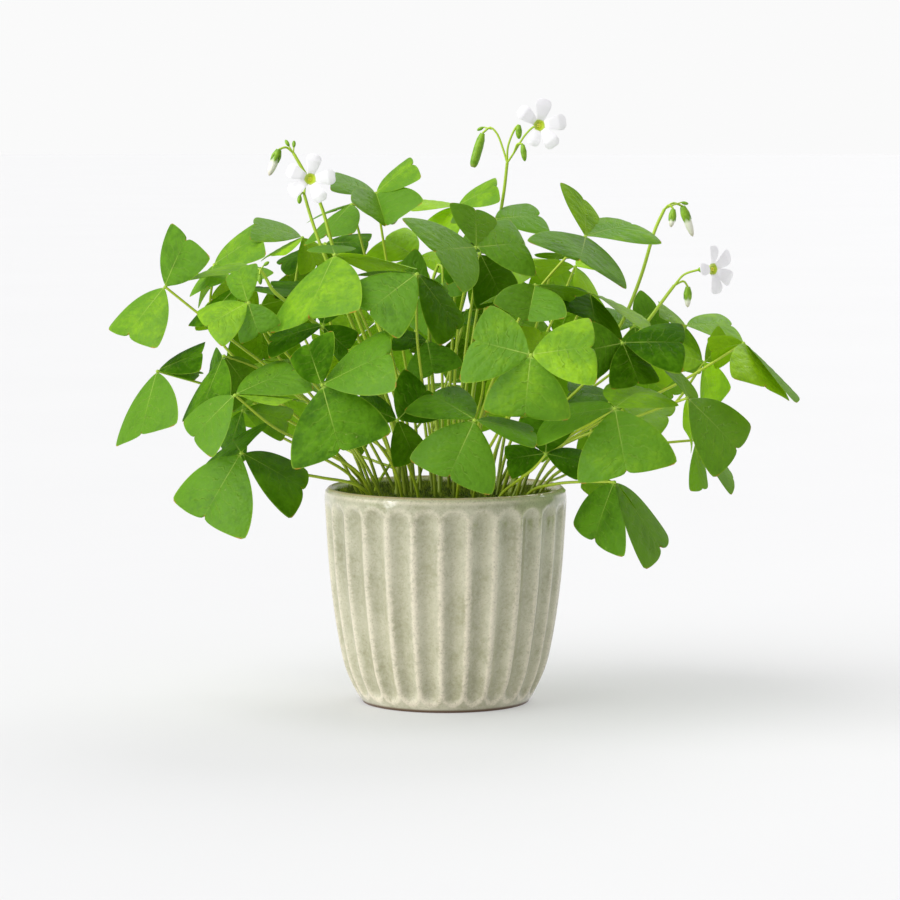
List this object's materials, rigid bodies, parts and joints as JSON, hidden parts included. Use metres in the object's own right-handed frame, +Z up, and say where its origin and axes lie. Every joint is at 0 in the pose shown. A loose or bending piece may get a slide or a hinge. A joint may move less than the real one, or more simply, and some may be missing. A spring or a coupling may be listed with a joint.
{
  "type": "potted shamrock plant",
  "caption": "leafy houseplant with clover-like leaves on thin stalks and small white flowers, in a fluted round ceramic pot",
  "frame": {"origin": "middle of the flat underside of the pot's foot", "axes": "+Z is up along the pot's axis; the front of the plant, with the most open leaves, faces -Y; +X is to the right of someone who looks at the front"},
  "size_m": [0.3411, 0.2446, 0.3007],
  "materials": {
    "glaze": "speckled celadon glaze on stoneware, half gloss",
    "soil": "dark crumbly potting soil, matte",
    "leaf": "soft green leaf with a faint sheen",
    "scape": "yellow-green stalk, satin",
    "petal": "white petal, matte"
  },
  "bodies": {
    "root": {"pot": "glaze", "soil": "soil", "leaf_01": "leaf", "leaf_02": "leaf", "leaf_03": "leaf", "leaf_04": "leaf", "leaf_05": "leaf", "leaf_06": "leaf", "leaf_07": "leaf", "leaf_08": "leaf", "leaf_09": "leaf", "leaf_10": "leaf", "leaf_11": "leaf", "leaf_12": "leaf", "leaf_13": "leaf", "leaf_14": "leaf", "leaf_15": "leaf", "leaf_16": "leaf", "leaf_17": "leaf", "leaf_18": "leaf", "leaf_19": "leaf", "leaf_20": "leaf", "leaf_21": "leaf", "leaf_22": "leaf", "leaf_23": "leaf", "leaf_24": "leaf", "leaf_25": "leaf", "leaf_26": "leaf", "leaf_27": "leaf", "leaf_28": "leaf", "leaf_29": "leaf", "leaf_30": "leaf", "leaf_31": "leaf", "leaf_32": "leaf", "leaf_33": "leaf", "leaf_34": "leaf", "leaf_35": "leaf", "leaf_36": "leaf", "leaf_37": "leaf", "leaf_38": "leaf", "leaf_39": "leaf", "leaf_40": "leaf", "leaf_41": "leaf", "leaf_42": "leaf", "leaf_43": "leaf", "leaf_44": "leaf", "tuft_1": "leaf", "tuft_2": "leaf", "tuft_3": "leaf", "tuft_4": "leaf", "scape_1": "scape", "scape_2": "scape", "scape_3": "scape", "scape_4": "scape", "scape_5": "scape", "scape_6": "scape", "scape_7": "scape", "bloom_1": "petal", "bloom_2": "petal", "bloom_3": "petal"}
  },
  "joints": []
}
